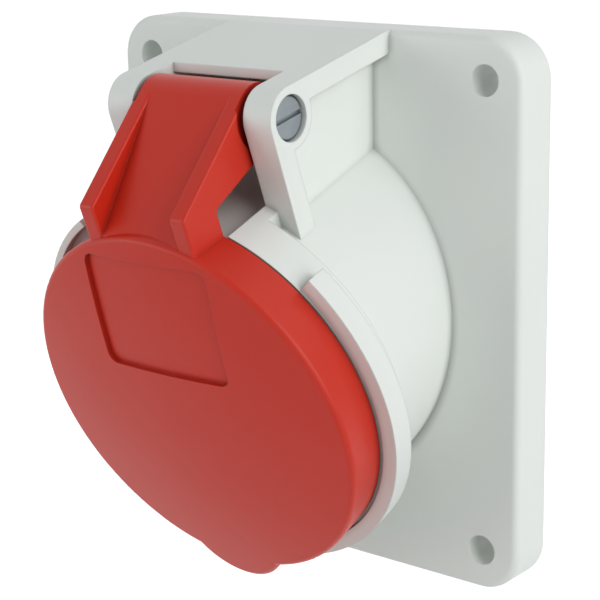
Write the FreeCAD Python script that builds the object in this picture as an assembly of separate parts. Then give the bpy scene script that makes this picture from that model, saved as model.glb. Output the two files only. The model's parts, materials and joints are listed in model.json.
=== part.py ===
import FreeCAD, Part
import math
import os
from FreeCAD import Vector

# Panel socket with a round tube tilted down and a hinged spring lid. All lengths are in millimetres.
# The origin is the centre of the screw pattern on the flange's rear face: +Y runs into the panel, +Z up.

# Flange that is screwed to the panel
flange_width = 92.0
flange_height = 100.0
flange_thickness = 9.0
flange_corner_radius = 8.0
flange_edge_radius = 1.3
flange_front_wall = 3.0
flange_rim_wall = 2.4
hole_edge_distance = 7.5
hole_diameter = 5.5
hole_boss_diameter = 11.0

# Seal cord in a groove of the flange's rear face
seal_path_inset = 5.0
seal_path_radius = 22.0
seal_width = 2.2
seal_depth = 2.4
seal_rail_wall = 1.5

# Tube and collar, measured from the lid's seat along the tilted axis
tilt_angle = 20.0
axis_height = 2.0
seat_reach = 37.9
tube_radius = 32.0
tube_wall = 2.6
tube_rear_depth = 44.0
collar_radius = 34.5
collar_length = 8.0
collar_gap = 0.3
neck_height = 3.0
neck_wall = 2.8
keyway_width = 6.0
keyway_depth = 1.4
well_floor_radius = 31.3
well_length = 30.0

# Ramp ring around the collar
ring_radius = 37.8
ring_bore_radius = 35.0
ring_relief = 1.5
ring_relief_angle = 135.0
ring_rear_depth = 4.6
ring_start_depth = 0.5
ring_start_angle = 43.0
ring_sweep = 281.0
ring_rise = 2.5

# Hood and hinge ears
pin_height = 46.3
pin_depth = 16.2
ear_radius = 5.4
ear_gap = 25.2
hood_width = 37.0
hood_side_wall = 2.4
hood_roof_wall = 1.7
hood_rim = 4.0
ear_arm_depth = 4.2
window_rear_gap = 5.4

# Hinge pin
pin_radius = 2.2
pin_head_radius = 3.75
pin_head_thickness = 1.4
pin_head_sink = 0.8
pin_slot_width = 0.8
pin_slot_depth = 0.8
pin_slot_angle = -7.0
pin_end_wall = 2.0
pin_press_gap = 0.02
pin_running_gap = 0.05
head_gap = 0.25
pin_head_chamfer = 0.25
pin_end_chamfer = 0.5

# Lid
lid_crown_depth = 11.05
lid_dome_radius = 213.0
lid_face_wall = 2.2
lid_ledge_depth = 5.6
lid_rear_radius = 34.43
lid_front_radius = 34.7
lid_edge_radius = 1.1
lid_skirt_gap = 0.8
rib_outer_width = 24.0
rib_wall = 3.3
rib_corner_height = 39.4
rib_underside_height = 37.2
rib_front_depth = 7.7
rib_corner_radius = 1.0
rib_edge_radius = 0.5
barrel_radius = 5.5
hub_width = 22.6
hub_step_radius = 6.2
web_wall = 2.6
web_foot_height = 33.8
tab_radius = 11.0
tab_reach = 38.6
tab_rear_depth = 3.0
field_width = 28.0
field_low = 8.9
field_high = 30.4
field_depth = 0.8
field_corner_radius = 2.0
catch_width = 10.0
catch_low = 19.5
catch_high = 22.5
catch_tip = 0.6
catch_hook_depth = 1.4
catch_hook_middle = 1.2
catch_hook_height = 2.8

# Lid seal ring
gasket_wall = 2.8
gasket_gap = 0.1
gasket_rib_wall = 1.5
gasket_rib_height = 2.0
gasket_bore_gap = 0.3
gasket_bevel = 0.6

# Torsion spring
spring_wire = 0.7
spring_coil_radius = 3.4
spring_turns = 5
spring_pitch = 0.85
spring_lid_leg = 11.0
spring_rear_angle = 160.0
spring_pocket_gap = 0.45
spring_pocket_width = 7.4
spring_leg_gap = 0.12

# Contact insert
tower_radius = 23.4
tower_front_depth = 4.0
tower_edge_width = 0.8
insert_base_thickness = 4.0
insert_fit_gap = 0.2
insert_face_wall = 2.6
mouth_gap = 0.35
mouth_flare = 0.9
contact_circle_radius = 14.8
contact_gap = 0.25

# Contacts: names in order around the circle, seen from the front, clockwise from the bottom
contact_names = ("pe", "l1", "l2", "l3", "n")
sleeve_bore_radius = 2.53
earth_bore_radius = 3.53
sleeve_wall = 1.2
sleeve_bore_depth = 24.0
sleeve_slit_length = 17.0
sleeve_slit_width = 0.8
sleeve_lead_in = 0.5
terminal_radius = 5.0
terminal_rear_depth = 61.0
wire_bore_radius = 2.2
wire_bore_depth = 14.0
wire_entry_gap = 0.6
spring_ring_width = 3.0
spring_ring_wall = 0.5
spring_ring_sink = 0.35
spring_ring_depth = 5.0
spring_ring_gap = 1.2

# Terminal screws
terminal_screw_radius = 1.75
terminal_screw_head_radius = 2.6
terminal_screw_head_height = 2.0
terminal_screw_length = 3.3
terminal_screw_depth = 54.0
terminal_access_gap = 0.3
terminal_head_gap = 0.6

# Terminal carrier behind the tube
carrier_radius = 26.5
carrier_plug_length = 2.0
carrier_plate_thickness = 3.0
carrier_rear_depth = 64.0
carrier_edge_width = 1.5
carrier_chamber_gap = 0.25
carrier_screw_circle = 33.8
carrier_ear_radius = 3.9
carrier_boss_length = 9.0
carrier_screw_radius = 1.7
carrier_screw_head_radius = 2.9
carrier_screw_head_height = 2.0
carrier_screw_length = 8.0
screw_slot_width = 0.9
screw_slot_depth = 0.8
screw_head_chamfer = 0.3
screw_tip_chamfer = 0.4
screw_hole_gap = 0.1
joint_gap = 0.05

# Sizes that follow from those above
tilt = math.radians(tilt_angle)
hole_spacing_x = flange_width - 2 * hole_edge_distance
hole_spacing_z = flange_height - 2 * hole_edge_distance
seal_path_width = flange_width - 2 * seal_path_inset
seal_path_height = flange_height - 2 * seal_path_inset
bore_radius = tube_radius - tube_wall
neck_radius = bore_radius + neck_wall
skirt_bore_radius = neck_radius + lid_skirt_gap
ear_inner = ear_gap / 2
hood_side = hood_width / 2
rib_outer = rib_outer_width / 2
rib_inner = rib_outer - rib_wall
hub_end = hub_width / 2
tower_base_depth = tube_rear_depth - carrier_plug_length
groove_floor_depth = tower_base_depth - insert_base_thickness
plate_depth = tube_rear_depth + carrier_plate_thickness
far = 200.0


def seat_frame():
    """Frame of the lid's seat: z runs out along the tube's axis, y up across the seat, x to the right."""
    outward = Vector(0, -math.cos(tilt), -math.sin(tilt))
    centre = Vector(0, 0, axis_height) + outward * seat_reach
    return FreeCAD.Placement(centre, FreeCAD.Rotation(Vector(1, 0, 0), 90 + tilt_angle))


seat = seat_frame()


def from_seat(shape):
    """Move a shape from the seat's frame into the socket's own frame."""
    return shape.transformed(seat.toMatrix(), copy=True)


def block(x_low, x_high, y_low, y_high, z_low, z_high):
    return Part.makeBox(x_high - x_low, y_high - y_low, z_high - z_low, Vector(x_low, y_low, z_low))


def rod(radius, z_low, z_high, x=0.0, y=0.0):
    return Part.makeCylinder(radius, z_high - z_low, Vector(x, y, z_low))


def ring(outer, inner, z_low, z_high, x=0.0, y=0.0):
    return rod(outer, z_low, z_high, x, y).cut(rod(inner, z_low - 1, z_high + 1, x, y))


def cross_rod(radius, x_low, x_high, y, z):
    """Round bar along x."""
    return Part.makeCylinder(radius, x_high - x_low, Vector(x_low, y, z), Vector(1, 0, 0))


def side_prism(points, x_low, x_high):
    """Outline given as (y, z) points, swept along x."""
    corners = [Vector(x_low, y, z) for y, z in points]
    outline = Part.makePolygon(corners + corners[:1])
    return Part.Face(outline).extrude(Vector(x_high - x_low, 0, 0))


def tangent_point(centre, radius, point, side):
    """Point where a line from a point outside touches a circle; side +1 or -1 picks the tangent."""
    across = point[0] - centre[0]
    along = point[1] - centre[1]
    base = math.atan2(along, across)
    turn = math.acos(radius / math.hypot(across, along))
    angle = base + side * turn
    return centre[0] + radius * math.cos(angle), centre[1] + radius * math.sin(angle)


def edges_along(shape, direction):
    """Straight edges that run along a direction."""
    found = []
    for edge in shape.Edges:
        if isinstance(edge.Curve, Part.Line) and abs(edge.Curve.Direction.dot(direction)) > 0.999:
            found.append(edge)
    return found


def rounded_plate(width, height, radius, y_low, y_high):
    plate = block(-width / 2, width / 2, y_low, y_high, -height / 2, height / 2)
    return plate.makeFillet(radius, edges_along(plate, Vector(0, 1, 0)))


def hole_places():
    return [(x * hole_spacing_x / 2, z * hole_spacing_z / 2) for x in (-1, 1) for z in (-1, 1)]


def seal_band(width, y_low):
    """Closed band of a given width along the seal's path, from y_low to the rear face."""
    outer = rounded_plate(seal_path_width + width, seal_path_height + width,
                          seal_path_radius + width / 2, y_low, 0)
    inner = rounded_plate(seal_path_width - width, seal_path_height - width,
                          seal_path_radius - width / 2, y_low - 1, 1)
    return outer.cut(inner)


def flange():
    """Hollow plate with a rounded front edge, screw bosses and a rail for the seal."""
    plate = rounded_plate(flange_width, flange_height, flange_corner_radius, -flange_thickness, 0)
    front = [e for e in plate.Edges if e.BoundBox.YMax < -flange_thickness + 0.01]
    plate = plate.makeFillet(flange_edge_radius, front)
    pocket_floor = flange_front_wall - flange_thickness
    pocket = rounded_plate(flange_width - 2 * flange_rim_wall, flange_height - 2 * flange_rim_wall,
                           flange_corner_radius - flange_rim_wall, pocket_floor, 1)
    for x, z in hole_places():
        pocket = pocket.cut(Part.makeCylinder(hole_boss_diameter / 2, far, Vector(x, -far / 2, z),
                                              Vector(0, 1, 0)))
    pocket = pocket.cut(seal_band(seal_width + 2 * seal_rail_wall, pocket_floor - 1))
    return plate.cut(pocket)


def screw_holes():
    holes = [Part.makeCylinder(hole_diameter / 2, far, Vector(x, -far / 2, z), Vector(0, 1, 0))
             for x, z in hole_places()]
    return Part.makeCompound(holes)


def ramp_ring():
    """Proud ring around the collar. Its front climbs to the left, with a relief for the lid's swing."""
    pitch = ring_rise * 360 / ring_sweep
    inner_edge = Part.makeHelix(pitch, ring_rise, collar_radius - 1).Edges[0]
    outer_edge = Part.makeHelix(pitch, ring_rise, ring_radius).Edges[0]
    ramp = Part.makeRuledSurface(inner_edge, outer_edge)
    band = ramp.extrude(Vector(0, 0, -2 * ring_rear_depth))
    band = band.mirror(Vector(0, 0, 0), Vector(0, 1, 0))
    band.rotate(Vector(0, 0, 0), Vector(0, 0, 1), ring_start_angle)
    band.translate(Vector(0, 0, -ring_start_depth))
    band = band.cut(rod(ring_radius + 5, -ring_rear_depth - far, -ring_rear_depth))
    relief_x = ring_relief * math.cos(math.radians(ring_relief_angle))
    relief_y = ring_relief * math.sin(math.radians(ring_relief_angle))
    inside = rod(ring_bore_radius, -collar_gap, far)
    return band.cut([inside, rod(ring_bore_radius, -collar_gap, far, relief_x, relief_y)])


def collar_and_tube():
    """Outer form of the tilted tube, its collar with the ramp ring, and the neck under the lid."""
    form = rod(tube_radius, -tube_rear_depth, 0)
    collar = rod(collar_radius, -collar_length, -collar_gap)
    form = form.fuse([collar, rod(neck_radius, -collar_length, neck_height), ramp_ring()])
    for side in (-1, 1):
        boss = rod(carrier_ear_radius, -tube_rear_depth, carrier_boss_length - tube_rear_depth,
                   side * carrier_screw_circle)
        form = form.fuse(boss)
    return form


def well_cut():
    """Slot between the ears where the collar and tube are lowered under the lid's arm."""
    slot = block(-ear_inner, ear_inner, 0, collar_radius + 1, -well_length, 0)
    return slot.cut(rod(well_floor_radius, -far, far))


def well_walls():
    """Short walls that join the ears to the collar on both sides of the well."""
    front = pin_depth - ear_radius
    walls = [block(ear_inner, ear_inner + hood_side_wall, tube_radius - 6, far, -front - 1, -collar_length),
             block(-ear_inner - hood_side_wall, -ear_inner, tube_radius - 6, far, -front - 1, -collar_length)]
    return Part.makeCompound(walls).common(rod(collar_radius, -far, far))


def ear_arms():
    """Arms that stand up from the tube and end in the round bosses of the hinge."""
    front = ear_radius - pin_depth
    parts = []
    for side in (-1, 1):
        inner = min(side * ear_inner, side * hood_side)
        outer = max(side * ear_inner, side * hood_side)
        arm = block(inner, outer, tube_radius - 8, pin_height, front - ear_arm_depth, front)
        parts.append(arm)
        parts.append(cross_rod(ear_radius, inner, outer, pin_height, -pin_depth))
    return parts


def hood_lines():
    """Corner points (y, z) of the hood's roof line in the socket's own frame."""
    centre = seat.multVec(Vector(0, pin_height, -pin_depth))
    start = (-flange_thickness, flange_height / 2)
    touch = tangent_point((centre.y, centre.z), ear_radius, start, -1)
    if touch[1] < centre.z:
        touch = tangent_point((centre.y, centre.z), ear_radius, start, 1)
    length = math.hypot(touch[0] - start[0], touch[1] - start[1])
    down = ((start[1] - touch[1]) / length, (touch[0] - start[0]) / length)
    return start, touch, down


def hood():
    """Roof, rims and side walls between the flange and the ears."""
    start, touch, down = hood_lines()
    root = (start[0] + flange_edge_radius + 0.5, start[1])

    def shifted(point, distance):
        return point[0] + down[0] * distance, point[1] + down[1] * distance

    rim_root = shifted(start, hood_rim)
    roof = side_prism([root, start, touch, shifted(touch, hood_rim), rim_root, (root[0], rim_root[1])],
                      -hood_side, hood_side)
    boss = seat.multVec(Vector(0, pin_height, -pin_depth))
    ear_front = seat.multVec(Vector(0, tube_radius - 4, ear_radius - pin_depth))
    tube_top = seat.multVec(Vector(0, tube_radius - 4, -tube_rear_depth + 4))
    wall_outline = [(root[0], rim_root[1]), rim_root, touch, (boss.y, boss.z),
                    (ear_front.y, ear_front.z), (tube_top.y, tube_top.z), (root[0], tube_top.z)]
    walls = []
    for side in (-1, 1):
        inner = min(side * ear_inner, side * (ear_inner + hood_side_wall))
        walls.append(side_prism(wall_outline, inner, inner + hood_side_wall))
    return roof.fuse(walls)


def hood_cuts():
    """Hollow under the roof and the window over the lid's barrel."""
    start, touch, down = hood_lines()
    boss = seat.multVec(Vector(0, pin_height, -pin_depth))
    window_y = boss.y + window_rear_gap

    def shifted(point, distance):
        return point[0] + down[0] * distance, point[1] + down[1] * distance

    low = shifted(start, hood_roof_wall)
    low_touch = shifted(touch, hood_roof_wall)
    slope = (low[1] - low_touch[1]) / (low[0] - low_touch[0])
    far_z = low[1] + slope * (-far - low[0])
    hollow = side_prism([low, (-far, far_z), (-far, 0), (low[0], 0)], -ear_inner, ear_inner)
    window = block(-ear_inner, ear_inner, -far, window_y, boss.z - ear_radius, far)
    return hollow, window


def housing():
    """Pale grey moulding: flange, tilted tube, collar, hood and ears in one piece."""
    outer = from_seat(collar_and_tube().fuse(ear_arms()))
    outer = outer.fuse([from_seat(well_walls()), hood()])
    hollow, window = hood_cuts()
    keep_tube = from_seat(rod(tube_radius, -tube_rear_depth, neck_height))
    front_side = block(-far, far, -far, -flange_thickness, -far, far)
    hollow = hollow.cut(keep_tube).common(front_side)
    outer = outer.cut([hollow, window.cut(keep_tube)])
    body = outer.fuse(flange())
    bore = rod(bore_radius, -far, far)
    groove = seal_band(seal_width, -seal_depth)
    body = body.cut([from_seat(bore), from_seat(well_cut()), screw_holes(), groove])
    keyway = block(-keyway_width / 2, keyway_width / 2, -bore_radius - keyway_depth, -bore_radius + 2,
                   -groove_floor_depth, far)
    left_hole = cross_rod(pin_radius + pin_press_gap, pin_end_wall - hood_side, 0, pin_height, -pin_depth)
    right_hole = cross_rod(pin_radius + pin_press_gap, 0, far, pin_height, -pin_depth)
    head_floor = hood_side - pin_head_sink - pin_head_thickness
    head_hole = cross_rod(pin_head_radius + head_gap, head_floor, far, pin_height, -pin_depth)
    cuts = [keyway, left_hole, right_hole, head_hole]
    for side in (-1, 1):
        cuts.append(rod(carrier_screw_radius - screw_hole_gap, -tube_rear_depth - 1,
                        carrier_boss_length - 2 - tube_rear_depth, side * carrier_screw_circle))
    return body.cut([from_seat(cut) for cut in cuts]).removeSplitter()


def lid_dome(shrink, z_low):
    """Space in front of z_low and behind the lid's domed face, or behind a parallel face further in."""
    ball = Part.makeSphere(lid_dome_radius - shrink, Vector(0, 0, lid_crown_depth - lid_dome_radius))
    return ball.common(rod(lid_dome_radius / 4, z_low, lid_crown_depth + 1))


def lid_disc():
    """Disc with a domed face, a rounded rim and a side wall that widens a little to the front."""
    ball_centre = lid_crown_depth - lid_dome_radius
    edge_r = lid_front_radius - lid_edge_radius
    reach = lid_dome_radius - lid_edge_radius
    edge_z = ball_centre + math.sqrt(reach ** 2 - edge_r ** 2)
    lean = math.asin(edge_r / reach)
    middle = (math.pi / 2 - lean) / 2
    side_top = Vector(lid_front_radius, 0, edge_z)
    edge_middle = Vector(edge_r + lid_edge_radius * math.cos(middle), 0,
                         edge_z + lid_edge_radius * math.sin(middle))
    dome_start = Vector(lid_dome_radius * math.sin(lean), 0, ball_centre + lid_dome_radius * math.cos(lean))
    dome_middle = Vector(lid_dome_radius * math.sin(lean / 2), 0,
                         ball_centre + lid_dome_radius * math.cos(lean / 2))
    crown = Vector(0, 0, lid_crown_depth)
    rear = Part.makePolygon([crown, Vector(0, 0, 0), Vector(lid_rear_radius, 0, 0), side_top])
    outline = Part.Wire(rear.Edges + [Part.Arc(side_top, edge_middle, dome_start).toShape(),
                                      Part.Arc(dome_start, dome_middle, crown).toShape()])
    return Part.Face(outline).revolve(Vector(0, 0, 0), Vector(0, 0, 1), 360)


def tab():
    """Finger tab at the lid's bottom: a round lug past the rim, domed and rounded like the face."""
    lug = rod(tab_radius, tab_rear_depth, far, 0, tab_radius - tab_reach).common(lid_dome(0, 0))
    front = [edge for edge in lug.Edges
             if edge.BoundBox.ZMin > tab_rear_depth + 1 and not isinstance(edge.Curve, Part.Line)]
    return lug.makeFillet(lid_edge_radius, front)


def lid_arm():
    """Two ribs, the web between them and the hinge barrel."""
    pin = (pin_height, -pin_depth)
    corner = (rib_corner_height, rib_front_depth)
    top = tangent_point(pin, barrel_radius, corner, 1)
    if top[0] < pin_height:
        top = tangent_point(pin, barrel_radius, corner, -1)
    under = (rib_underside_height, 0.0)
    bottom = tangent_point(pin, barrel_radius, under, -1)
    if bottom[0] > pin_height:
        bottom = tangent_point(pin, barrel_radius, under, 1)
    root = skirt_bore_radius - 3
    rib = [top, corner, (root, rib_front_depth), (root, 0.0), under, bottom, pin]
    foot = (web_foot_height, rib_front_depth - 0.2)
    web_top = tangent_point(pin, barrel_radius, foot, 1)
    if web_top[0] < pin_height:
        web_top = tangent_point(pin, barrel_radius, foot, -1)
    down = ((web_top[0] - pin[0]) / barrel_radius, (web_top[1] - pin[1]) / barrel_radius)
    web_under = (web_top[0] - down[0] * web_wall, web_top[1] - down[1] * web_wall)
    slope = (web_top[1] - foot[1]) / (web_top[0] - foot[0])
    foot_under = (skirt_bore_radius, web_under[1] + slope * (skirt_bore_radius - web_under[0]))
    web = [web_top, foot, (root, foot[1]), (root, foot_under[1]), foot_under, web_under]
    arm = side_prism(web, -rib_outer + 1, rib_outer - 1)
    pieces = [cross_rod(barrel_radius, -hub_end, hub_end, pin[0], pin[1])]
    for side in (-1, 1):
        inner = min(side * rib_inner, side * rib_outer)
        plate = side_prism(rib, inner, inner + rib_wall)
        corners = [edge for edge in edges_along(plate, Vector(1, 0, 0))
                   if edge.BoundBox.Center.z > -1 and edge.BoundBox.Center.y > rib_underside_height - 1]
        plate = plate.makeFillet(rib_corner_radius, corners)
        front = [edge for edge in plate.Edges
                 if edge.BoundBox.XLength < 0.01 and edge.BoundBox.YMin > root + 0.1
                 and edge.BoundBox.Center.z > 0 and edge.BoundBox.ZMax > rib_front_depth - 1.5]
        pieces.append(plate.makeFillet(rib_edge_radius, front))
    arm = arm.fuse(pieces)
    for side in (-1, 1):
        inner = min(side * hub_end, side * (rib_outer + 1))
        outer = max(side * hub_end, side * (rib_outer + 1))
        arm = arm.cut(cross_rod(hub_step_radius, inner, outer, pin[0], pin[1]))
    return arm, down


def spring_leg_line(web_normal):
    """Start point and direction of the spring's leg inside the web, as (y, z)."""
    start = (pin_height + web_normal[0] * spring_coil_radius, -pin_depth + web_normal[1] * spring_coil_radius)
    return start, (-web_normal[1], web_normal[0])


def lid():
    """Red moulding: disc, finger tab, arm and the ribs that hold its seal ring."""
    arm, web_normal = lid_arm()
    rib_inner_radius = bore_radius - gasket_rib_wall
    ceiling = lid_dome(lid_face_wall, 0).common(rod(rib_inner_radius, 0, far))
    body = lid_disc().fuse([tab(), arm]).cut([rod(skirt_bore_radius, -1, lid_ledge_depth), ceiling])
    inner_rib = ring(bore_radius + joint_gap, rib_inner_radius, lid_ledge_depth - gasket_rib_height,
                     lid_ledge_depth + 0.5)
    catch_front = lid_crown_depth - lid_face_wall - 0.4
    catch = block(-catch_width / 2, catch_width / 2, catch_low, catch_high, catch_tip, catch_front)
    hook = side_prism([(catch_high, catch_tip),
                       (catch_high + catch_hook_depth, catch_tip + catch_hook_middle),
                       (catch_high, catch_tip + catch_hook_height)], -catch_width / 2, catch_width / 2)
    body = body.fuse([inner_rib, catch.fuse(hook)])
    field = block(-field_width / 2, field_width / 2, field_low, field_high, lid_ledge_depth, far)
    field = field.makeFillet(field_corner_radius, edges_along(field, Vector(0, 0, 1)))
    field = field.cut(lid_dome(field_depth, 0))
    pin_bore = cross_rod(pin_radius + pin_running_gap, -far, far, pin_height, -pin_depth)
    half = spring_pocket_width / 2
    pocket_radius = spring_coil_radius + spring_wire / 2 + spring_pocket_gap
    pocket = cross_rod(pocket_radius, -half, half, pin_height, -pin_depth)
    behind = block(-half, half, -barrel_radius - 2, 0, -barrel_radius - 2, barrel_radius + 2)
    turn = math.degrees(math.atan2(web_normal[1], web_normal[0]))
    behind.rotate(Vector(0, 0, 0), Vector(1, 0, 0), turn)
    behind.translate(Vector(0, pin_height, -pin_depth))
    start, along = spring_leg_line(web_normal)
    leg_hole = Part.makeCylinder(spring_wire / 2 + spring_leg_gap, spring_lid_leg + 0.5,
                                 Vector(-spring_length() / 2, start[0], start[1]),
                                 Vector(0, along[0], along[1]))
    return body.cut([field, pin_bore, pocket, behind, leg_hole]).removeSplitter()


def spring_length():
    return spring_pitch * (spring_turns + 0.3)


def lid_spring():
    """Torsion spring: a coil around the pin, one leg in the lid's web and one on the well's floor."""
    web_normal = lid_arm()[1]
    first = math.atan2(web_normal[0], web_normal[1])
    last = math.radians(spring_rear_angle)
    turns = spring_turns + (last - first) / (2 * math.pi)
    height = spring_pitch * turns
    helix = Part.makeHelix(spring_pitch, height, spring_coil_radius)
    section = Part.Wire(Part.makeCircle(spring_wire / 2, Vector(spring_coil_radius, 0, 0), Vector(0, 1, 0)))
    coil = Part.Wire(helix.Edges).makePipeShell([section], True, True)
    # The coil is made along z from angle 0; its axis is laid along x and its start turned to the web.
    lay = FreeCAD.Matrix(0, 0, 1, -height / 2, 0, 1, 0, 0, 1, 0, 0, 0, 0, 0, 0, 1)
    coil.rotate(Vector(0, 0, 0), Vector(0, 0, 1), math.degrees(first))
    coil = coil.transformed(lay, copy=True)
    coil.translate(Vector(0, pin_height, -pin_depth))
    start, along = spring_leg_line(web_normal)
    lid_leg = Part.makeCylinder(spring_wire / 2, spring_lid_leg, Vector(-height / 2, start[0], start[1]),
                                Vector(0, along[0], along[1]))
    rear_start = (pin_height + spring_coil_radius * math.sin(last),
                  -pin_depth + spring_coil_radius * math.cos(last))
    rear_along = (math.cos(last), -math.sin(last))
    drop = (rear_start[0] - well_floor_radius - spring_wire / 2 - joint_gap) / -rear_along[0]
    rear_leg = Part.makeCylinder(spring_wire / 2, drop, Vector(height / 2, rear_start[0], rear_start[1]),
                                 Vector(0, rear_along[0], rear_along[1]))
    return coil.fuse([lid_leg, rear_leg])


def hinge_pin():
    """Pin with a slotted head that sits in the right ear."""
    head_floor = hood_side - pin_head_sink - pin_head_thickness
    shaft = cross_rod(pin_radius, pin_end_wall - hood_side + joint_gap, head_floor + 0.1,
                      pin_height, -pin_depth)
    end = [edge for edge in shaft.Edges if edge.BoundBox.XMax < 0]
    shaft = shaft.makeChamfer(pin_end_chamfer, end)
    head = cross_rod(pin_head_radius, head_floor + joint_gap, head_floor + pin_head_thickness,
                     pin_height, -pin_depth)
    rim = [edge for edge in head.Edges if edge.BoundBox.XMin > head_floor + pin_head_thickness - 0.01]
    head = head.makeChamfer(pin_head_chamfer, rim)
    slot = block(head_floor + pin_head_thickness - pin_slot_depth, far, -pin_slot_width / 2,
                 pin_slot_width / 2, -far, far)
    slot.rotate(Vector(0, 0, 0), Vector(1, 0, 0), pin_slot_angle)
    slot.translate(Vector(0, pin_height, -pin_depth))
    return shaft.fuse(head).cut(slot)


def lid_gasket():
    """Seal ring in the lid, bevelled where it meets the neck."""
    low = neck_height + gasket_gap
    inner = bore_radius + gasket_bore_gap
    outline = ring(inner + gasket_wall, inner, low, lid_ledge_depth)
    rims = [edge for edge in outline.Edges if edge.BoundBox.ZMax < low + 0.01]
    return outline.makeChamfer(gasket_bevel, rims)


def flange_gasket():
    """Seal cord in the flange's rear groove, a little narrower than the groove."""
    return seal_band(seal_width - 2 * joint_gap, joint_gap - seal_depth)


def contact_places():
    """Name, centre and bore radius of each contact, clockwise from the bottom."""
    places = []
    for number, name in enumerate(contact_names):
        angle = math.radians(-90 - number * 360 / len(contact_names))
        bore = earth_bore_radius if name == "pe" else sleeve_bore_radius
        places.append((name, contact_circle_radius * math.cos(angle),
                       contact_circle_radius * math.sin(angle), bore, math.degrees(angle)))
    return places


def chamber_radius(bore):
    return bore + sleeve_wall + spring_ring_wall - spring_ring_sink + contact_gap


def contact_insert():
    """Front carrier: tower with five contact chambers and a base that closes the plug's groove."""
    tower = rod(tower_radius, -tower_base_depth, -tower_front_depth)
    front = [edge for edge in tower.Edges if edge.BoundBox.ZMin > -tower_front_depth - 0.01]
    tower = tower.makeChamfer(tower_edge_width, front)
    base = rod(bore_radius - insert_fit_gap, -tower_base_depth, -groove_floor_depth)
    body = tower.fuse(base)
    for _, x, y, bore, _ in contact_places():
        chamber = rod(chamber_radius(bore), -far, -tower_front_depth - insert_face_wall, x, y)
        mouth = Part.makeCone(bore + mouth_gap, bore + mouth_gap + mouth_flare,
                              insert_face_wall + 2 * joint_gap,
                              Vector(x, y, -tower_front_depth - insert_face_wall - joint_gap))
        body = body.cut([chamber, mouth])
    return body.removeSplitter()


def contact(x, y, bore, angle):
    """Turned brass contact: slit sleeve in front, round terminal with a wire bore behind."""
    front = -tower_front_depth - insert_face_wall - joint_gap
    outer = bore + sleeve_wall
    rear = -terminal_rear_depth
    shoulder = -tower_base_depth - contact_gap
    body = rod(outer, shoulder - 1, front).fuse(rod(terminal_radius, rear, shoulder))
    body = body.cut(rod(bore, front - sleeve_bore_depth, far))
    body = body.cut(Part.makeCone(bore, bore + sleeve_lead_in, sleeve_lead_in,
                                  Vector(0, 0, front - sleeve_lead_in)))
    slit = sleeve_slit_width / 2
    for cut in (block(-slit, slit, -far, far, front - sleeve_slit_length, far),
                block(-far, far, -slit, slit, front - sleeve_slit_length, far)):
        body = body.cut(cut)
    ring_top = front - spring_ring_depth
    body = body.cut(ring(far / 4, outer - spring_ring_sink, ring_top - spring_ring_width, ring_top))
    body = body.cut(rod(wire_bore_radius, -far, rear + wire_bore_depth))
    thread = Part.makeCylinder(terminal_screw_radius + joint_gap, far, Vector(0, 0, -terminal_screw_depth),
                               Vector(1, 0, 0))
    body = body.cut(thread)
    body.rotate(Vector(0, 0, 0), Vector(0, 0, 1), angle)
    body.translate(Vector(x, y, 0))
    return body


def contact_spring(x, y, bore, angle):
    """Open steel ring that presses the sleeve's fingers together."""
    front = -tower_front_depth - insert_face_wall - joint_gap - spring_ring_depth
    inner = bore + sleeve_wall - spring_ring_sink + joint_gap
    outer = inner + spring_ring_wall
    band = ring(outer, inner, front - spring_ring_width + joint_gap, front - joint_gap)
    band = band.cut(block(0, far, -spring_ring_gap / 2, spring_ring_gap / 2, -far, 0))
    band.rotate(Vector(0, 0, 0), Vector(0, 0, 1), angle + 45)
    band.translate(Vector(x, y, 0))
    return band


def slotted_screw(shank_radius, head_radius, head_height, length):
    """Cheese-head screw along z: the head's top is at z = head_height, the tip at z = -length."""
    head = rod(head_radius, 0, head_height)
    top = [edge for edge in head.Edges if edge.BoundBox.ZMin > head_height - 0.01]
    head = head.makeChamfer(screw_head_chamfer, top)
    shank = rod(shank_radius, -length, 0.5)
    tip = [edge for edge in shank.Edges if edge.BoundBox.ZMax < 0.01 - length]
    shank = shank.makeChamfer(screw_tip_chamfer, tip)
    slot = block(-far, far, -screw_slot_width / 2, screw_slot_width / 2, head_height - screw_slot_depth, far)
    return head.fuse(shank).cut(slot)


def terminal_screw_seat():
    """Distance of a terminal screw's head seat from the contact's centre."""
    return terminal_radius + terminal_head_gap


def terminal_screws():
    """One clamp screw per terminal, pointing at the socket's axis."""
    screws = []
    for _, x, y, _, angle in contact_places():
        screw = slotted_screw(terminal_screw_radius, terminal_screw_head_radius,
                              terminal_screw_head_height, terminal_screw_length)
        screw.rotate(Vector(0, 0, 0), Vector(0, 1, 0), 90)
        screw.translate(Vector(terminal_screw_seat(), 0, -terminal_screw_depth))
        screw.rotate(Vector(0, 0, 0), Vector(0, 0, 1), angle)
        screw.translate(Vector(x, y, 0))
        screws.append(screw)
    return Part.makeCompound(screws)


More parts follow.
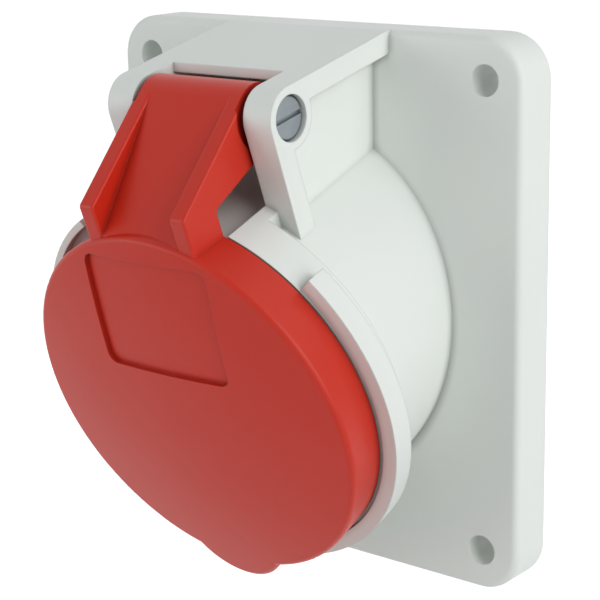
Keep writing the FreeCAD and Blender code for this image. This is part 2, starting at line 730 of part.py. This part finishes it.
def terminal_carrier():
    """Rear carrier: plate with two ears on the tube's end and a block around the terminals."""
    plug = rod(bore_radius - insert_fit_gap, -tube_rear_depth - 1, -tower_base_depth - joint_gap)
    plate = rod(tube_radius - 0.1, -plate_depth, -tube_rear_depth - joint_gap)
    core = rod(carrier_radius, -carrier_rear_depth, -plate_depth + 1)
    rear = [edge for edge in core.Edges if edge.BoundBox.ZMax < 0.01 - carrier_rear_depth]
    core = core.makeChamfer(carrier_edge_width, rear)
    body = plug.fuse([plate, core])
    for side in (-1, 1):
        x = side * carrier_screw_circle
        body = body.fuse(rod(carrier_ear_radius, -plate_depth, -tube_rear_depth - joint_gap, x))
    for side in (-1, 1):
        body = body.cut(rod(carrier_screw_radius + screw_hole_gap, -far, far, side * carrier_screw_circle))
    for _, x, y, bore, angle in contact_places():
        neck = rod(bore + sleeve_wall + contact_gap, -tower_base_depth - contact_gap, far, x, y)
        chamber = rod(terminal_radius + carrier_chamber_gap, -terminal_rear_depth - carrier_chamber_gap,
                      -tower_base_depth, x, y)
        wire = rod(wire_bore_radius + wire_entry_gap, -far, 0, x, y)
        access = Part.makeCylinder(terminal_screw_head_radius + terminal_access_gap, far,
                                   Vector(0, 0, -terminal_screw_depth), Vector(1, 0, 0))
        access.rotate(Vector(0, 0, 0), Vector(0, 0, 1), angle)
        access.translate(Vector(x, y, 0))
        body = body.cut([neck, chamber, wire, access])
    return body.removeSplitter()


def insert_screws():
    """Two screws through the terminal carrier's ears into the housing."""
    screws = []
    for side in (-1, 1):
        screw = slotted_screw(carrier_screw_radius - screw_hole_gap - joint_gap, carrier_screw_head_radius,
                              carrier_screw_head_height, carrier_screw_length)
        screw.rotate(Vector(0, 0, 0), Vector(1, 0, 0), 180)
        screw.translate(Vector(side * carrier_screw_circle, 0, -plate_depth - joint_gap))
        screws.append(screw)
    return Part.makeCompound(screws)


def write(name, shape):
    if shape.ShapeType == "Compound" and len(shape.Solids) == 1:
        shape = shape.Solids[0]
    shape.exportStep(os.path.join("parts", name + ".step"))
    print(name, len(shape.Solids), shape.isValid(), round(shape.Volume, 1))


def main():
    os.makedirs("parts", exist_ok=True)
    write("housing", housing())
    write("lid", from_seat(lid()))
    write("hinge_pin", from_seat(hinge_pin()))
    write("lid_spring", from_seat(lid_spring()))
    write("lid_gasket", from_seat(lid_gasket()))
    write("flange_gasket", flange_gasket())
    write("contact_insert", from_seat(contact_insert()))
    write("terminal_carrier", from_seat(terminal_carrier()))
    for name, x, y, bore, angle in contact_places():
        write("contact_" + name, from_seat(contact(x, y, bore, angle)))
        write("contact_spring_" + name, from_seat(contact_spring(x, y, bore, angle)))
    write("terminal_screws", from_seat(terminal_screws()))
    write("insert_screws", from_seat(insert_screws()))


main()
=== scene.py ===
import json
import math

import bpy
from mathutils import Matrix, Vector


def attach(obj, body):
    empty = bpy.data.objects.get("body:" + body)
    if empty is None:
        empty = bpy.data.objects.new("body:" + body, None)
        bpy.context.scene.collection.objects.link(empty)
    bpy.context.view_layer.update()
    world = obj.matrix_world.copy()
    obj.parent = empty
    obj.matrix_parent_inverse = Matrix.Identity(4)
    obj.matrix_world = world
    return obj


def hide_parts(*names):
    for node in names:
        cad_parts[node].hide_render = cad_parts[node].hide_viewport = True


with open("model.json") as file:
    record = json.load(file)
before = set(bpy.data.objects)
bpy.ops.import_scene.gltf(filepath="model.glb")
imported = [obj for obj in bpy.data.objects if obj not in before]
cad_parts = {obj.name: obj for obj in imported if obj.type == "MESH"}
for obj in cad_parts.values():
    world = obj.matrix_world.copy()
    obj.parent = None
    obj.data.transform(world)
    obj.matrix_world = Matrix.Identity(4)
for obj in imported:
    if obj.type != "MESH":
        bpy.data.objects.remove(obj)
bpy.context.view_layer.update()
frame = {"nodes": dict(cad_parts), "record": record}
cad = frame["nodes"]

# Camera of the catalogue picture: a long lens from the front right, a little above, rolled by one degree.
# The angles, the aim and the distance come from the flange's edges and holes in the picture.
MM = 0.001
CAMERA_TURN = math.radians(39.064)
CAMERA_RISE = math.radians(14.65)
CAMERA_ROLL = math.radians(-1.17)
CAMERA_AIM = Vector((-9.887, 0.0, -4.863)) * MM
CAMERA_DISTANCE = 342.811 * MM
SENSOR_WIDTH = 36.0
FOCAL_LENGTH = 104.81
NEAREST_SEEN = 0.01
FARTHEST_SEEN = 20.0

back = Vector((math.sin(CAMERA_TURN) * math.cos(CAMERA_RISE),
               -math.cos(CAMERA_TURN) * math.cos(CAMERA_RISE), math.sin(CAMERA_RISE)))
level = Vector((math.cos(CAMERA_TURN), math.sin(CAMERA_TURN), 0.0))
upright = back.cross(level)
camera_right = level * math.cos(CAMERA_ROLL) + upright * math.sin(CAMERA_ROLL)
camera_up = upright * math.cos(CAMERA_ROLL) - level * math.sin(CAMERA_ROLL)
lens = bpy.data.cameras.new("catalogue_lens")
lens.sensor_fit = "HORIZONTAL"
lens.sensor_width = SENSOR_WIDTH
lens.lens = FOCAL_LENGTH
lens.clip_start = NEAREST_SEEN
lens.clip_end = FARTHEST_SEEN
camera = bpy.data.objects.new("catalogue_camera", lens)
camera.matrix_world = (Matrix.Translation(CAMERA_AIM + back * CAMERA_DISTANCE)
                       @ Matrix((camera_right, camera_up, back)).transposed().to_4x4())
bpy.context.scene.collection.objects.link(camera)
bpy.context.scene.camera = camera
bpy.context.scene.view_settings.view_transform = "Standard"

# Surround: plain white, as in the picture, and an even grey-white light from all sides.
# The camera sees the white directly, in glossy surfaces and through clear ones.
# Matt surfaces are lit by the grey.
AMBIENT = 0.38
FULL_WHITE = 1.0


def add_node(tree, kind, settings=None, links=None):
    """Adds one shader node. A setting is an attribute of the node or the value of a socket.
    Sockets go by name or number."""
    node = tree.nodes.new(kind)
    for name, value in (settings or {}).items():
        if isinstance(name, str) and hasattr(node, name):
            setattr(node, name, value)
        else:
            node.inputs[name].default_value = value
    for name, source in (links or {}).items():
        tree.links.new(source, node.inputs[name])
    return node


def paint(code):
    """Linear colour of an sRGB hex code, by the curve of the sRGB standard."""
    parts = [int(code[i:i + 2], 16) / 255 for i in (1, 3, 5)]
    return [c / 12.92 if c <= 0.04045 else ((c + 0.055) / 1.055) ** 2.4 for c in parts] + [1.0]


def seen_rays(tree):
    """1 for rays from the camera, from gloss and through clear material, 0 for those of matt light."""
    path = add_node(tree, "ShaderNodeLightPath")
    direct = add_node(tree, "ShaderNodeMath", {"operation": "MAXIMUM"},
                      {0: path.outputs["Is Camera Ray"], 1: path.outputs["Is Transmission Ray"]})
    return add_node(tree, "ShaderNodeMath", {"operation": "MAXIMUM"},
                    {0: direct.outputs[0], 1: path.outputs["Is Glossy Ray"]})


world = bpy.data.worlds.new("white_surround")
bpy.context.scene.world = world
world.use_nodes = True
tree = world.node_tree
tree.nodes.clear()
seen = seen_rays(tree)
ambient = add_node(tree, "ShaderNodeBackground", {"Color": paint("#F4F7FA"), "Strength": AMBIENT})
white = add_node(tree, "ShaderNodeBackground", {"Color": paint("#FFFFFF"), "Strength": FULL_WHITE})
surround = add_node(tree, "ShaderNodeMixShader", {},
                    {0: seen.outputs[0], 1: ambient.outputs[0], 2: white.outputs[0]})
add_node(tree, "ShaderNodeOutputWorld", {}, {"Surface": surround.outputs[0]})

# Lamps: a large soft box on the right as the key light, a second one behind and above it,
# and one on the front left. In the picture the faces that look right are the brightest,
# then the tops, then the fronts.
SOFT_BOX_SIDE = 0.70


def soft_box(name, place, power):
    """Square area lamp at a place, which looks at the object."""
    light = bpy.data.lights.new(name, "AREA")
    light.shape = "SQUARE"
    light.size = SOFT_BOX_SIDE
    light.energy = power
    lamp = bpy.data.objects.new(name, light)
    lamp.location = place
    lamp.rotation_mode = "QUATERNION"
    lamp.rotation_quaternion = (-Vector(place)).to_track_quat("-Z", "Y")
    bpy.context.scene.collection.objects.link(lamp)


soft_box("right_soft_box", place=(0.90, -0.18, 0.30), power=4.1)
soft_box("upper_soft_box", place=(0.60, 0.10, 0.70), power=1.2)
soft_box("left_soft_box", place=(-0.60, -0.80, 0.05), power=2.9)

# Floor: one wide sheet of matt white paper below the object, which catches its soft shadow.
# To the camera it also glows, so it runs into the white surround with no edge.
PAPER_DROP = 95 * MM
PAPER_HALF = 3.0
PAPER_GLOW = 0.75


def blank_material(name):
    """New material with an empty node tree, and that tree."""
    material = bpy.data.materials.new(name)
    material.use_nodes = True
    material.node_tree.nodes.clear()
    return material, material.node_tree


paper_mesh = bpy.data.meshes.new("paper_sweep")
sheet = [(-PAPER_HALF, -PAPER_HALF, -PAPER_DROP), (PAPER_HALF, -PAPER_HALF, -PAPER_DROP),
         (PAPER_HALF, PAPER_HALF, -PAPER_DROP), (-PAPER_HALF, PAPER_HALF, -PAPER_DROP)]
paper_mesh.from_pydata(sheet, [], [(0, 1, 2, 3)])
paper = bpy.data.objects.new("paper_sweep", paper_mesh)
bpy.context.scene.collection.objects.link(paper)
# Studio paper, uncoated and matt.
paper_material, tree = blank_material("matt_studio_paper")
matt = add_node(tree, "ShaderNodeBsdfDiffuse", {"Color": paint("#E8E8E8")})
seen = seen_rays(tree)
glow = add_node(tree, "ShaderNodeEmission", {"Color": paint("#FFFFFF"), "Strength": PAPER_GLOW})
dark = add_node(tree, "ShaderNodeEmission", {"Color": paint("#FFFFFF"), "Strength": 0.0})
seen_glow = add_node(tree, "ShaderNodeMixShader", {},
                     {0: seen.outputs[0], 1: dark.outputs[0], 2: glow.outputs[0]})
both = add_node(tree, "ShaderNodeAddShader", {}, {0: matt.outputs[0], 1: seen_glow.outputs[0]})
add_node(tree, "ShaderNodeOutputMaterial", {}, {"Surface": both.outputs[0]})
paper_mesh.materials.append(paper_material)

# Housing: flange, tube, collar, hood and ears, one injection moulding in pale grey polyamide.
# Its satin skin has the fine spark-eroded grain of the mould, and its edges are slightly rounded.
# Faint clouds, about 18 mm wide, show where the melt flowed.
POLYAMIDE_IOR = 1.53
POLYAMIDE_SHINE = 0.3
FLOW_CLOUD = 18 * MM
FLOW_ROUGHNESS = 0.04
# Painted shade: within this reach, creases, recesses and gaps between parts are darkened in the colour
# itself.
PAINTED_SHADE_REACH = 2.5 * MM
# Open share of what lies within that reach: the painted shade is full at the first and gone at the second.
PAINTED_SHADE_FULL_AT = 0.25
PAINTED_SHADE_GONE_AT = 0.85
PAINTED_SHADE_SAMPLES = 8
EDGE_SAMPLES = 6
# The real grain is about 0.1 mm across, and it is drawn coarser, so that it shows.
GRAIN = 0.25 * MM
GRAIN_DEPTH = 0.02 * MM
GRAIN_STRENGTH = 0.25


def moulded_plastic(name, colour, flow_colour, painted_shade_colour, roughness, edge, crown=None, crown_reach=0.0):
    """Injection-moulded polyamide: faint flow clouds, painted shade darkening creases and gaps, fine grain,
    softened edges.
    Within the reach of a crown the facets are shaded flat."""
    material, tree = blank_material(name)
    place = add_node(tree, "ShaderNodeTexCoord").outputs["Object"]
    flow = add_node(tree, "ShaderNodeTexNoise", {"Scale": 1 / FLOW_CLOUD, "Detail": 2.0}, {"Vector": place})
    shade = add_node(tree, "ShaderNodeMixRGB", {"Color1": paint(colour), "Color2": paint(flow_colour)},
                     {"Fac": flow.outputs["Fac"]})
    # Painted shade: the less open sky lies within reach, the closer the colour comes to the painted shade
    # colour.
    open_sky = add_node(tree, "ShaderNodeAmbientOcclusion",
                        {"samples": PAINTED_SHADE_SAMPLES, "Distance": PAINTED_SHADE_REACH})
    shade_openness = add_node(tree, "ShaderNodeMapRange", {"From Min": PAINTED_SHADE_FULL_AT, "From Max": PAINTED_SHADE_GONE_AT},
                     {"Value": open_sky.outputs["AO"]})
    painted_shade_mix = add_node(tree, "ShaderNodeMixRGB", {"Color1": paint(painted_shade_colour)},
                      {"Fac": shade_openness.outputs["Result"], "Color2": shade.outputs["Color"]})
    polish = add_node(tree, "ShaderNodeMapRange",
                      {"To Min": roughness - FLOW_ROUGHNESS, "To Max": roughness + FLOW_ROUGHNESS},
                      {"Value": flow.outputs["Fac"]})
    soft_edge = add_node(tree, "ShaderNodeBevel", {"samples": EDGE_SAMPLES, "Radius": edge})
    facing = soft_edge.outputs["Normal"]
    if crown:
        away = add_node(tree, "ShaderNodeVectorMath", {"operation": "DISTANCE", 1: crown}, {0: place})
        near = add_node(tree, "ShaderNodeMath", {"operation": "LESS_THAN", 1: crown_reach},
                        {0: away.outputs["Value"]})
        facet = add_node(tree, "ShaderNodeNewGeometry")
        evened = add_node(tree, "ShaderNodeMixRGB", {},
                          {"Fac": near.outputs[0], "Color1": facing, "Color2": facet.outputs["True Normal"]})
        facing = evened.outputs["Color"]
    grain = add_node(tree, "ShaderNodeTexNoise", {"Scale": 1 / GRAIN, "Detail": 3.0}, {"Vector": place})
    relief = add_node(tree, "ShaderNodeBump", {"Strength": GRAIN_STRENGTH, "Distance": GRAIN_DEPTH},
                      {"Height": grain.outputs["Fac"], "Normal": facing})
    surface = add_node(tree, "ShaderNodeBsdfPrincipled",
                       {"IOR": POLYAMIDE_IOR, "Specular IOR Level": POLYAMIDE_SHINE},
                       {"Base Color": painted_shade_mix.outputs["Color"], "Roughness": polish.outputs["Result"],
                        "Normal": relief.outputs["Normal"]})
    add_node(tree, "ShaderNodeOutputMaterial", {}, {"Surface": surface.outputs[0]})
    return material


def dress(nodes, material):
    """Gives every slot of the named CAD nodes one material."""
    for node in nodes:
        for held in cad[node].material_slots:
            held.material = material


# Pale grey polyamide, injection moulded: satin, with the spark-eroded grain of the mould.
# Its third colour is painted shade, laid into creases and gaps between parts.
dress(["housing"], moulded_plastic("pale_grey_polyamide_moulded", "#EDF1EC", "#E9EDE8", "#A3A7A3",
                                   roughness=0.38, edge=0.35 * MM))

# Lid: disc, finger tab, ribs and hinge barrel, one injection moulding in signal red polyamide.
# It has the housing's satin skin, with sharper edges on its rim and ribs. The thin facets that
# meet at the crown of its domed face are shaded flat, which keeps the crown even.
LID_CROWN = (0.0, -46.0 * MM, -14.74 * MM)
LID_CROWN_REACH = 4.3 * MM

# Signal red polyamide, injection moulded: as satin and as finely grained as the housing.
# Its third colour is painted shade, laid into creases and gaps between parts.
dress(["lid"], moulded_plastic("signal_red_polyamide_moulded", "#CE2D18", "#CA2B16", "#86160D",
                               roughness=0.38, edge=0.15 * MM,
                               crown=LID_CROWN, crown_reach=LID_CROWN_REACH))

# Hinge pin: a slotted steel pin, turned and zinc plated, pressed into the ears from the right.
# Its head shows the fine rings of the lathe around the slot.
PLATING_CLOUD = 2.5 * MM
PLATING_SMOOTHEST = -0.06
PLATING_ROUGHEST = 0.08
# Spacing of the wave texture's rings at a scale of 1.
WAVE_PERIOD = math.pi / 10
# Lathe rings are too fine to show, so they are drawn this many times as far apart as on the real piece.
RINGS_APART = 1.885
RING_DEPTH = 0.01 * MM
RING_STRENGTH = 0.35
RING_WANDER = 0.6


def turned_metal(name, colour, worn_colour, roughness, centre, axis, feed):
    """Turned metal: rings around an axis through a centre, one per feed of the lathe, and cloudy plating."""
    material, tree = blank_material(name)
    place = add_node(tree, "ShaderNodeTexCoord").outputs["Object"]
    turn = Vector(axis).rotation_difference(Vector((0, 0, 1))).to_euler()
    moved = add_node(tree, "ShaderNodeVectorMath", {"operation": "SUBTRACT", 1: centre}, {0: place})
    on_axis = add_node(tree, "ShaderNodeMapping", {"Rotation": turn}, {"Vector": moved.outputs[0]})
    rings = add_node(tree, "ShaderNodeTexWave",
                     {"wave_type": "RINGS", "rings_direction": "Z",
                      "Scale": WAVE_PERIOD / (RINGS_APART * feed), "Distortion": RING_WANDER, "Detail": 1.0},
                     {"Vector": on_axis.outputs["Vector"]})
    cloud = add_node(tree, "ShaderNodeTexNoise", {"Scale": 1 / PLATING_CLOUD, "Detail": 3.0},
                     {"Vector": place})
    shade = add_node(tree, "ShaderNodeMixRGB", {"Color1": paint(colour), "Color2": paint(worn_colour)},
                     {"Fac": cloud.outputs["Fac"]})
    polish = add_node(tree, "ShaderNodeMapRange",
                      {"To Min": roughness + PLATING_SMOOTHEST, "To Max": roughness + PLATING_ROUGHEST},
                      {"Value": cloud.outputs["Fac"]})
    relief = add_node(tree, "ShaderNodeBump", {"Strength": RING_STRENGTH, "Distance": RING_DEPTH},
                      {"Height": rings.outputs["Fac"]})
    surface = add_node(tree, "ShaderNodeBsdfPrincipled", {"Metallic": 1.0},
                       {"Base Color": shade.outputs["Color"], "Roughness": polish.outputs["Result"],
                        "Normal": relief.outputs["Normal"]})
    add_node(tree, "ShaderNodeOutputMaterial", {}, {"Surface": surface.outputs[0]})
    return material


hinge = next(joint for joint in frame["record"]["behaviour"]["joints"] if joint["name"] == "lid_hinge")
# Steel, turned and zinc plated, with the faint blue of its passivation.
dress(["hinge_pin"], turned_metal("zinc_plated_steel_turned", "#A6ACB0", "#9199A0", roughness=0.48,
                                  centre=hinge["pos_m"], axis=(1, 0, 0), feed=0.12 * MM))

# Hinge spring: a torsion spring of cold-coiled stainless wire around the pin, with the streaks of drawing.
# One leg lies in a hole of the lid's web and turns with the lid, so it is a piece of its own.
# The other leg presses on the floor of the well.
WIRE = 0.7 * MM
WIRE_ROUNDNESS = 3
COIL_RADIUS = 3.4 * MM
COIL_PITCH = 0.85 * MM
WHOLE_TURNS = 5
STEPS_PER_TURN = 28
LID_LEG_ANGLE = math.radians(50.35)
WELL_LEG_ANGLE = math.radians(160.0)
LID_LEG = 11.0 * MM
WELL_LEG = 16.77 * MM
TUBE_TILT = math.radians(20.0)
STREAK_STRETCH = 4.0
STREAK_SMOOTHEST = -0.05
STREAK_ROUGHEST = 0.08


def drawn_steel(name, colour, streak_colour, roughness, streak):
    """Drawn steel: fine streaks, longer than wide, in colour and gloss."""
    material, tree = blank_material(name)
    place = add_node(tree, "ShaderNodeTexCoord").outputs["Object"]
    squeezed = add_node(tree, "ShaderNodeMapping", {"Scale": (STREAK_STRETCH, 1.0, 1.0)}, {"Vector": place})
    streaks = add_node(tree, "ShaderNodeTexNoise", {"Scale": 1 / streak, "Detail": 4.0},
                       {"Vector": squeezed.outputs["Vector"]})
    shade = add_node(tree, "ShaderNodeMixRGB", {"Color1": paint(colour), "Color2": paint(streak_colour)},
                     {"Fac": streaks.outputs["Fac"]})
    polish = add_node(tree, "ShaderNodeMapRange",
                      {"To Min": roughness + STREAK_SMOOTHEST, "To Max": roughness + STREAK_ROUGHEST},
                      {"Value": streaks.outputs["Fac"]})
    surface = add_node(tree, "ShaderNodeBsdfPrincipled", {"Metallic": 1.0},
                       {"Base Color": shade.outputs["Color"], "Roughness": polish.outputs["Result"]})
    add_node(tree, "ShaderNodeOutputMaterial", {}, {"Surface": surface.outputs[0]})
    return material


def wire(name, points, material, body):
    """Round spring wire along a line of points, with closed ends, on a body of the frame."""
    path = bpy.data.curves.new(name, "CURVE")
    path.dimensions = "3D"
    path.bevel_depth = WIRE / 2
    path.bevel_resolution = WIRE_ROUNDNESS
    path.use_fill_caps = True
    line = path.splines.new("POLY")
    line.points.add(len(points) - 1)
    for held, point in zip(line.points, points):
        held.co = (*point, 1.0)
    swept = bpy.data.objects.new(name + "_path", path)
    bpy.context.scene.collection.objects.link(swept)
    mesh = bpy.data.meshes.new_from_object(swept.evaluated_get(bpy.context.evaluated_depsgraph_get()))
    bpy.data.objects.remove(swept)
    mesh.name = name
    mesh.shade_smooth()
    mesh.materials.clear()
    mesh.materials.append(material)
    piece = bpy.data.objects.new(name, mesh)
    bpy.context.scene.collection.objects.link(piece)
    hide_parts("lid_spring")
    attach(piece, body)


def around_pin(angle, x):
    """Point of the coil at an angle from the tube's front towards its top, and its direction there."""
    outward = tube_up * math.sin(angle) + tube_front * math.cos(angle)
    spot = pin_centre + Vector((x, 0, 0)) + outward * COIL_RADIUS
    return spot, tube_up * math.cos(angle) - tube_front * math.sin(angle)


# Stainless spring steel, cold drawn: bright, with faint streaks along the wire.
spring_steel = drawn_steel("stainless_spring_steel_drawn", "#B4B7BA", "#9A9DA1",
                           roughness=0.30, streak=0.5 * MM)
pin_centre = Vector(hinge["pos_m"])
tube_front = Vector((0, -math.cos(TUBE_TILT), -math.sin(TUBE_TILT)))
tube_up = Vector((0, -math.sin(TUBE_TILT), math.cos(TUBE_TILT)))
turns = WHOLE_TURNS + (WELL_LEG_ANGLE - LID_LEG_ANGLE) / (2 * math.pi)
coil_half = COIL_PITCH * turns / 2
steps = round(STEPS_PER_TURN * turns)
coil = []
for step in range(steps + 1):
    part = step / steps
    angle = LID_LEG_ANGLE + 2 * math.pi * turns * part
    coil.append(around_pin(angle, (2 * part - 1) * coil_half)[0])
spot, along = around_pin(WELL_LEG_ANGLE, coil_half)
wire("lid_spring_coil", coil + [spot + along * WELL_LEG], spring_steel, "socket")
spot, along = around_pin(LID_LEG_ANGLE, -coil_half)
wire("lid_spring_leg", [spot, spot - along * LID_LEG], spring_steel, "lid")

# Contact springs: one open ring of bent stainless strip around the fingers of each contact sleeve.
# They are made of the same spring steel as the hinge spring.
POLES = ("pe", "l1", "l2", "l3", "n")
dress(["contact_spring_" + pole for pole in POLES], spring_steel)

# Seals: the ring inside the lid and the cord in the flange's rear groove, both moulded black rubber.
# The rubber is matt, with a faint dusty bloom and a slightly uneven skin.
RUBBER_IOR = 1.5
BLOOM_CLOUD = 7 * MM
SKIN_STRENGTH = 0.3


def moulded_rubber(name, colour, bloom_colour, roughness, skin, skin_depth):
    """Moulded rubber: matt, with a cloudy bloom and a fine uneven skin."""
    material, tree = blank_material(name)
    place = add_node(tree, "ShaderNodeTexCoord").outputs["Object"]
    bloom = add_node(tree, "ShaderNodeTexNoise", {"Scale": 1 / BLOOM_CLOUD, "Detail": 4.0}, {"Vector": place})
    shade = add_node(tree, "ShaderNodeMixRGB", {"Color1": paint(colour), "Color2": paint(bloom_colour)},
                     {"Fac": bloom.outputs["Fac"]})
    unevenness = add_node(tree, "ShaderNodeTexNoise", {"Scale": 1 / skin, "Detail": 2.0}, {"Vector": place})
    relief = add_node(tree, "ShaderNodeBump", {"Strength": SKIN_STRENGTH, "Distance": skin_depth},
                      {"Height": unevenness.outputs["Fac"]})
    surface = add_node(tree, "ShaderNodeBsdfPrincipled", {"Roughness": roughness, "IOR": RUBBER_IOR},
                       {"Base Color": shade.outputs["Color"], "Normal": relief.outputs["Normal"]})
    add_node(tree, "ShaderNodeOutputMaterial", {}, {"Surface": surface.outputs[0]})
    return material


# Black rubber, compression moulded: matt and slightly greyed by its bloom.
dress(["lid_gasket", "flange_gasket"],
      moulded_rubber("black_rubber_moulded", "#141415", "#242426", roughness=0.62,
                     skin=0.4 * MM, skin_depth=0.03 * MM))

# Contact insert and terminal carrier: dark grey polyamide mouldings that hold the contacts.
# The insert is hidden while the lid is shut, and the carrier is screwed to the housing from behind.
# Dark grey polyamide, injection moulded: a little duller than the housing, with the same grain.
# Its third colour is painted shade, laid into creases and gaps between parts.
dress(["contact_insert", "terminal_carrier"],
      moulded_plastic("dark_grey_polyamide_moulded", "#333438", "#2E2F33", "#1C1D1F",
                      roughness=0.46, edge=0.25 * MM))

# Contacts: five slit sleeves with round terminals behind, turned from brass bar.
# Their ends show lathe rings, and the skin is a little tarnished.
sleeves = {mount["name"]: mount for mount in frame["record"]["mounts"]}
for pole in POLES:
    sleeve = sleeves["sleeve_" + pole]
    # Brass, turned: warm yellow, with brown clouds of tarnish.
    dress(["contact_" + pole], turned_metal("brass_turned_" + pole, "#D2B571", "#B99A58", roughness=0.28,
                                            centre=sleeve["pos_m"], axis=sleeve["axis"], feed=0.15 * MM))

# Screws: slotted clamp screws in the terminals and two screws that hold the terminal carrier.
# They are cold headed from drawn wire, so their skin keeps its streaks.
# Steel, cold headed and zinc plated: a little brighter than the hinge pin.
dress(["terminal_screws", "insert_screws"],
      drawn_steel("zinc_plated_steel_headed", "#B9BDC1", "#9EA3A8", roughness=0.38, streak=0.8 * MM))
